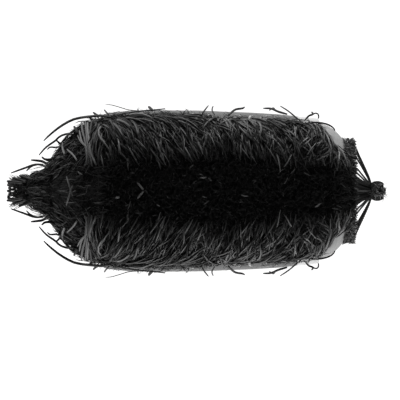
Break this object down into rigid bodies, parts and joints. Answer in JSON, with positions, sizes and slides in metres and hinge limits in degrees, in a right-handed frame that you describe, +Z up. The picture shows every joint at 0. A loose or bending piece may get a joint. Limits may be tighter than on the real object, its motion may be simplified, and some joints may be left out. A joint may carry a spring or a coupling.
{
  "type": "furry microphone windscreen",
  "caption": "Capsule-shaped furry windscreen: a skinned basket in a long-pile jacket, with a laced rear tail, a spring cord lock and a rubber bush for a shotgun microphone.",
  "frame": {"origin": "on the surface that the windscreen lies on, under the middle of its box", "axes": "+X along the basket's axis towards the tail where the microphone goes in, +Z up, +Y to the left side strip"},
  "size_m": [0.232, 0.1, 0.1114],
  "materials": {
    "cage_plastic": "fine moulded texture",
    "pale_plastic": "milky moulded plastic",
    "skin_weave": "fine woven mesh",
    "pale_skin": "pale translucent woven mesh",
    "clear_rim": "translucent milky plastic",
    "seam_tape": "woven tape",
    "bush_rubber": "smooth moulded rubber",
    "retainer_plastic": "satin",
    "screw_steel": "plain",
    "foam": "open-cell foam",
    "fur_pile": "long coarse black pile",
    "strip_fabric": "smooth stretch fabric",
    "lining_fabric": "soft lining",
    "cord": "braided cord",
    "eyelet_metal": "dark satin",
    "lock_plastic": "semi-gloss",
    "spring_steel": "plain"
  },
  "bodies": {
    "basket": {"front_hoop": "cage_plastic", "second_hoop": "cage_plastic", "third_hoop": "cage_plastic", "rear_hoop": "cage_plastic", "stringers": "cage_plastic", "front_dome_frame": "cage_plastic", "rear_dome_frame": "pale_plastic", "tube_mesh": "skin_weave", "front_dome_mesh": "skin_weave", "rear_dome_mesh": "pale_skin", "front_seam_band": "seam_tape", "rear_rim_band": "clear_rim", "rear_collar": "retainer_plastic", "mic_bush": "bush_rubber", "bush_retainer": "retainer_plastic", "retainer_screws": "screw_steel", "nose_foam": "foam", "front_fur_cap": "fur_pile", "upper_fur_panel": "fur_pile", "lower_fur_panel": "fur_pile", "left_side_strip": "strip_fabric", "right_side_strip": "strip_fabric", "front_gather": "lining_fabric", "front_lacing": "cord", "front_tie": "cord", "fold_seam": "seam_tape"},
    "tail": {"tail_hem": "lining_fabric", "hem_fringe": "fur_pile", "hem_eyelets": "eyelet_metal", "tail_throat": "lining_fabric", "tail_cords": "cord"},
    "cord_lock": {"lock_body": "lock_plastic", "lock_spring": "spring_steel"},
    "button": {"lock_button": "lock_plastic"}
  },
  "joints": [
    {"name": "tail_fold", "type": "hinge", "parent": "basket", "child": "tail", "pos_m": [0.0926, 0, 0.0879], "axis": [0, -1, 0], "range_deg": [0, 110]},
    {"name": "lock_slide", "type": "slide", "parent": "tail", "child": "cord_lock", "axis": [1, 0, 0], "range_m": [0, 0.02], "deforming": ["tail_cords"]},
    {"name": "button_press", "type": "slide", "parent": "cord_lock", "child": "button", "axis": [0, 0, -1], "range_m": [0, 0.0025], "stiffness_N_per_m": 400, "springref_m": -0.001, "deforming": ["lock_spring"]}
  ]
}
